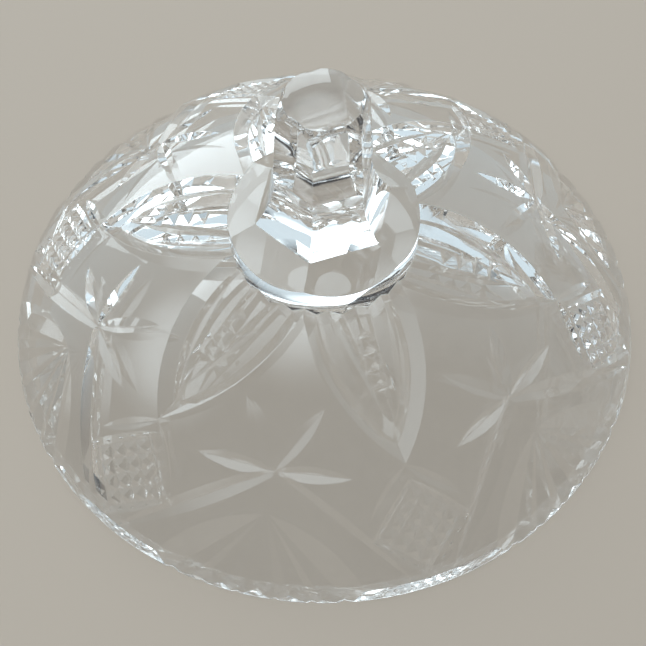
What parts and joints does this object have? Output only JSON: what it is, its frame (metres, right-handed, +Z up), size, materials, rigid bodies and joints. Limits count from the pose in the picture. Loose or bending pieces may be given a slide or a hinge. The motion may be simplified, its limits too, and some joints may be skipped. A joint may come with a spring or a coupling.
{
  "type": "lidded candy dish",
  "caption": "Clear cut-crystal candy dish: a shallow round bowl on a low foot, with its lift-off domed lid and faceted knob set down on the table beside it.",
  "frame": {"origin": "on the table, under the middle of the pair's box", "axes": "+Z up; +X from the lid, which stands at -X, towards the dish at +X; +Y away from the viewer"},
  "size_m": [0.35, 0.17, 0.082],
  "materials": {
    "crystal": "clear polished crystal with cut grooves"
  },
  "bodies": {
    "dish": {"dish": "crystal"},
    "lid": {"lid": "crystal"}
  },
  "joints": [
    {"name": "lid_lift", "type": "slide", "parent": "dish", "child": "lid", "axis": [0, 0, 1], "range_m": [0, 0.06]}
  ]
}
